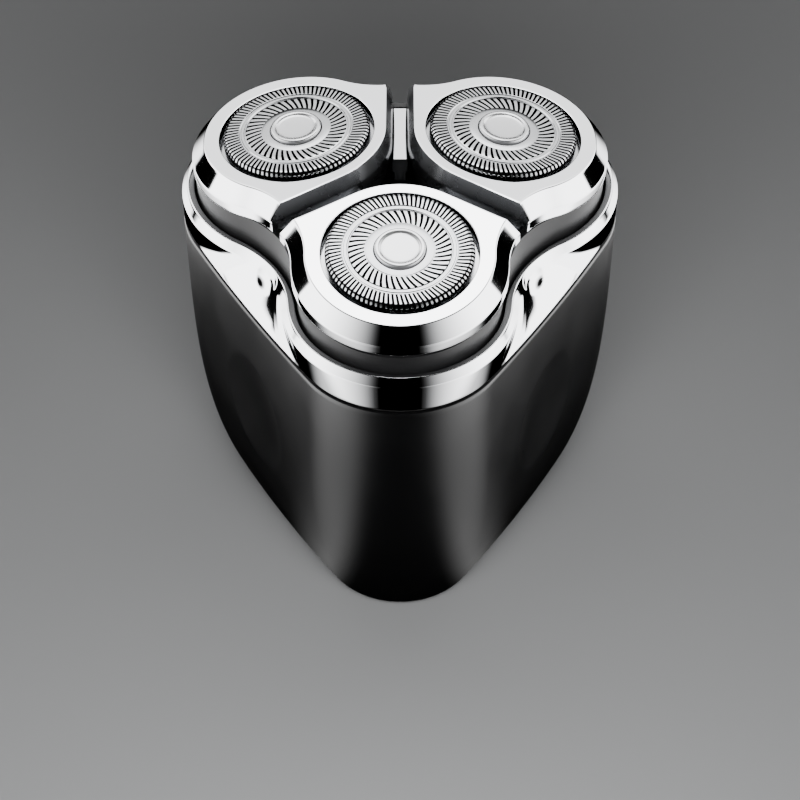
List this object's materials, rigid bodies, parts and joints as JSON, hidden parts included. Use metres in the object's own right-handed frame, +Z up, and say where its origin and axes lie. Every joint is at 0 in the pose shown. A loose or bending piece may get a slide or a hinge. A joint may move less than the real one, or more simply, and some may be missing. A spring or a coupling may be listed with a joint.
{
  "type": "rotary electric shaver",
  "caption": "Palm-size rotary electric shaver: a tapering three-lobed body, a bright bezel and a pull-off holder with tilting, floating round shaving heads.",
  "frame": {"origin": "centre of the flat base, on the shaver's three-fold axis", "axes": "+Z up through the heads; -Y towards the front head; +X to the right of someone facing that head"},
  "size_m": [0.0658, 0.0616, 0.0661],
  "materials": {
    "chrome_trim": "polished chrome plate",
    "cutting_steel": "bright slotted steel",
    "pearl_cap": "pearl lacquer",
    "body_black": "satin soft-touch black",
    "holder_dark": "satin dark grey",
    "inner_black": "matt black",
    "inner_grey": "moulded grey",
    "gear_white": "moulded acetal",
    "machined_steel": "turned steel",
    "bush_brass": "turned brass",
    "seal_rubber": "matt rubber",
    "cell_wrap": "shrink wrap",
    "board_green": "solder mask",
    "light_clear": "frosted clear"
  },
  "bodies": {
    "body": {"body_shell": "body_black", "bezel_ring": "chrome_trim", "upper_deck": "inner_black", "body_gasket": "seal_rubber", "chassis_plate": "inner_grey", "chassis_screw_1": "machined_steel", "chassis_screw_2": "machined_steel", "chassis_screw_3": "machined_steel", "motor_screw_1": "machined_steel", "motor_screw_2": "machined_steel", "motor_can": "machined_steel", "motor_end_cap": "inner_grey", "battery_cell": "cell_wrap", "battery_cradle": "inner_grey", "control_board": "board_green", "charging_socket": "machined_steel", "tact_switch": "machined_steel", "light_guide": "light_clear", "spindle_bush_1": "bush_brass", "spindle_bush_2": "bush_brass", "spindle_bush_3": "bush_brass", "spindle_seal_1": "seal_rubber", "spindle_seal_2": "seal_rubber", "spindle_seal_3": "seal_rubber"},
    "rotor": {"motor_shaft": "machined_steel", "drive_pinion": "bush_brass"},
    "head": {"head_holder": "holder_dark", "gap_trim_1": "chrome_trim", "gap_trim_2": "chrome_trim", "gap_trim_3": "chrome_trim"},
    "button": {"power_button": "chrome_trim"},
    "drive_1": {"drive_gear_1": "gear_white", "drive_spindle_1": "machined_steel"},
    "petal_1": {"petal_plate_1": "chrome_trim", "retaining_ring_1": "inner_black"},
    "guard_1": {"foil_guard_1": "cutting_steel", "foil_cap_1": "pearl_cap"},
    "cutter_1": {"cutter_1": "cutting_steel"},
    "drive_2": {"drive_gear_2": "gear_white", "drive_spindle_2": "machined_steel"},
    "petal_2": {"petal_plate_2": "chrome_trim", "retaining_ring_2": "inner_black"},
    "guard_2": {"foil_guard_2": "cutting_steel", "foil_cap_2": "pearl_cap"},
    "cutter_2": {"cutter_2": "cutting_steel"},
    "drive_3": {"drive_gear_3": "gear_white", "drive_spindle_3": "machined_steel"},
    "petal_3": {"petal_plate_3": "chrome_trim", "retaining_ring_3": "inner_black"},
    "guard_3": {"foil_guard_3": "cutting_steel", "foil_cap_3": "pearl_cap"},
    "cutter_3": {"cutter_3": "cutting_steel"}
  },
  "joints": [
    {"name": "head_pull", "type": "slide", "parent": "body", "child": "head", "axis": [0, 0, 1], "range_m": [0, 0.025]},
    {"name": "button_press", "type": "slide", "parent": "body", "child": "button", "axis": [0, -1, 0], "range_m": [0, 0.0008], "stiffness_N_per_m": 1200},
    {"name": "gear_spin_1", "type": "hinge", "parent": "body", "child": "drive_1", "pos_m": [0, -0.01711, 0.0459], "axis": [0, 0, 1], "continuous": true},
    {"name": "petal_rock_1", "type": "hinge", "parent": "head", "child": "petal_1", "pos_m": [0, -0.01711, 0.05805], "axis": [-1, 0, 0], "range_deg": [-1.5, 1.5], "stiffness_Nm_per_rad": 0.25},
    {"name": "guard_float_1", "type": "slide", "parent": "petal_1", "child": "guard_1", "axis": [0, -0.1271, 0.9919], "range_m": [-0.001, 0], "stiffness_N_per_m": 400},
    {"name": "cutter_spin_1", "type": "hinge", "parent": "guard_1", "child": "cutter_1", "pos_m": [0, -0.01711, 0.05805], "axis": [0, -0.1271, 0.9919], "continuous": true},
    {"name": "gear_spin_2", "type": "hinge", "parent": "body", "child": "drive_2", "pos_m": [0.01482, 0.00855, 0.0459], "axis": [0, 0, 1], "continuous": true},
    {"name": "petal_rock_2", "type": "hinge", "parent": "head", "child": "petal_2", "pos_m": [0.01482, 0.00855, 0.05805], "axis": [0.5, -0.866, 0], "range_deg": [-1.5, 1.5], "stiffness_Nm_per_rad": 0.25},
    {"name": "guard_float_2", "type": "slide", "parent": "petal_2", "child": "guard_2", "axis": [0.11, 0.0635, 0.9919], "range_m": [-0.001, 0], "stiffness_N_per_m": 400},
    {"name": "cutter_spin_2", "type": "hinge", "parent": "guard_2", "child": "cutter_2", "pos_m": [0.01482, 0.00855, 0.05805], "axis": [0.11, 0.0635, 0.9919], "continuous": true},
    {"name": "gear_spin_3", "type": "hinge", "parent": "body", "child": "drive_3", "pos_m": [-0.01482, 0.00855, 0.0459], "axis": [0, 0, 1], "continuous": true},
    {"name": "petal_rock_3", "type": "hinge", "parent": "head", "child": "petal_3", "pos_m": [-0.01482, 0.00855, 0.05805], "axis": [0.5, 0.866, 0], "range_deg": [-1.5, 1.5], "stiffness_Nm_per_rad": 0.25},
    {"name": "guard_float_3", "type": "slide", "parent": "petal_3", "child": "guard_3", "axis": [-0.11, 0.0635, 0.9919], "range_m": [-0.001, 0], "stiffness_N_per_m": 400},
    {"name": "cutter_spin_3", "type": "hinge", "parent": "guard_3", "child": "cutter_3", "pos_m": [-0.01482, 0.00855, 0.05805], "axis": [-0.11, 0.0635, 0.9919], "continuous": true},
    {"name": "motor_spin", "type": "hinge", "parent": "body", "child": "rotor", "pos_m": [0, 0, 0.0459], "axis": [0, 0, 1], "continuous": true}
  ],
  "couplings": [
    {"joint": "cutter_spin_1", "follows": "gear_spin_1", "ratio": 1},
    {"joint": "cutter_spin_2", "follows": "gear_spin_1", "ratio": 1},
    {"joint": "gear_spin_2", "follows": "gear_spin_1", "ratio": 1},
    {"joint": "cutter_spin_3", "follows": "gear_spin_1", "ratio": 1},
    {"joint": "gear_spin_3", "follows": "gear_spin_1", "ratio": 1},
    {"joint": "motor_spin", "follows": "gear_spin_1", "ratio": -2.75}
  ]
}
